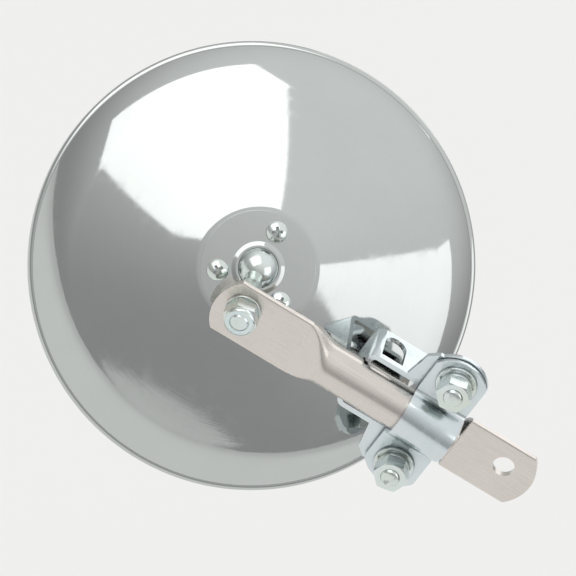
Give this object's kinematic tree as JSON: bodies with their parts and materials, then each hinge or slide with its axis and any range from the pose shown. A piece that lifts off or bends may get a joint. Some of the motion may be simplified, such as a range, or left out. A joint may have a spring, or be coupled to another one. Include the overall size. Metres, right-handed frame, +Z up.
{
  "type": "convex mirror on clamp arm",
  "caption": "Round convex mirror with a polished metal back, on a ball stud at the end of a flattened tube arm, with a two-bolt clamp that grips a post.",
  "frame": {"origin": "centre of the post seat, midway between the yoke's two walls", "axes": "+Z up the post, +X along the arm away from the head, -Y towards the nuts; the glass looks to +Y"},
  "size_m": [0.2361, 0.1234, 0.1626],
  "materials": {
    "polished_stainless": "mirror-polished stainless steel",
    "satin_steel": "satin, fine grain along the arm",
    "zinc_plate": "bright zinc plating over pressed steel",
    "zinc_fastener": "bright zinc plating",
    "spring_steel": "oiled spring steel",
    "pale_nylon": "natural nylon",
    "black_nylon": "moulded black nylon",
    "gasket_rubber": "matt",
    "mirror_glass": "silvered convex glass"
  },
  "bodies": {
    "clamp": {"clamp_saddle": "zinc_plate", "clamp_yoke": "zinc_plate", "clamp_bolts": "zinc_fastener", "clamp_flat_washers": "zinc_fastener", "clamp_lock_washers": "zinc_fastener", "clamp_nuts": "zinc_fastener"},
    "arm": {"arm_tube": "satin_steel"},
    "stud": {"ball_stud": "zinc_fastener", "stud_washer": "zinc_fastener", "stud_nut": "zinc_fastener", "stud_nut_insert": "pale_nylon"},
    "seat": {"ball_seat": "black_nylon", "seat_spring": "spring_steel"},
    "head": {"rear_shell": "polished_stainless", "retainer_plate": "polished_stainless", "socket_cup": "zinc_plate", "plate_screws": "zinc_fastener", "screw_lock_washers": "zinc_fastener", "screw_nuts": "zinc_fastener", "mirror_glass": "mirror_glass", "glass_gasket": "gasket_rubber", "rim_bezel": "polished_stainless"}
  },
  "joints": [
    {"name": "arm_roll", "type": "hinge", "parent": "clamp", "child": "arm", "pos_m": [0.0265, -0.01468, 0], "axis": [-1, 0, 0], "range_deg": [0, 20]},
    {"name": "stud_swivel", "type": "hinge", "parent": "arm", "child": "stud", "pos_m": [-0.064, 0.01682, 0.0025], "axis": [0, 1, 0], "range_deg": [0, 90]},
    {"name": "head_tilt", "type": "hinge", "parent": "stud", "child": "seat", "pos_m": [-0.064, 0.01682, 0.0025], "axis": [0.9945, 0, 0.1045], "range_deg": [0, 34]},
    {"name": "head_spin", "type": "hinge", "parent": "seat", "child": "head", "pos_m": [-0.064, 0.01682, 0.0025], "axis": [-0.0585, -0.829, 0.5561], "continuous": true}
  ]
}
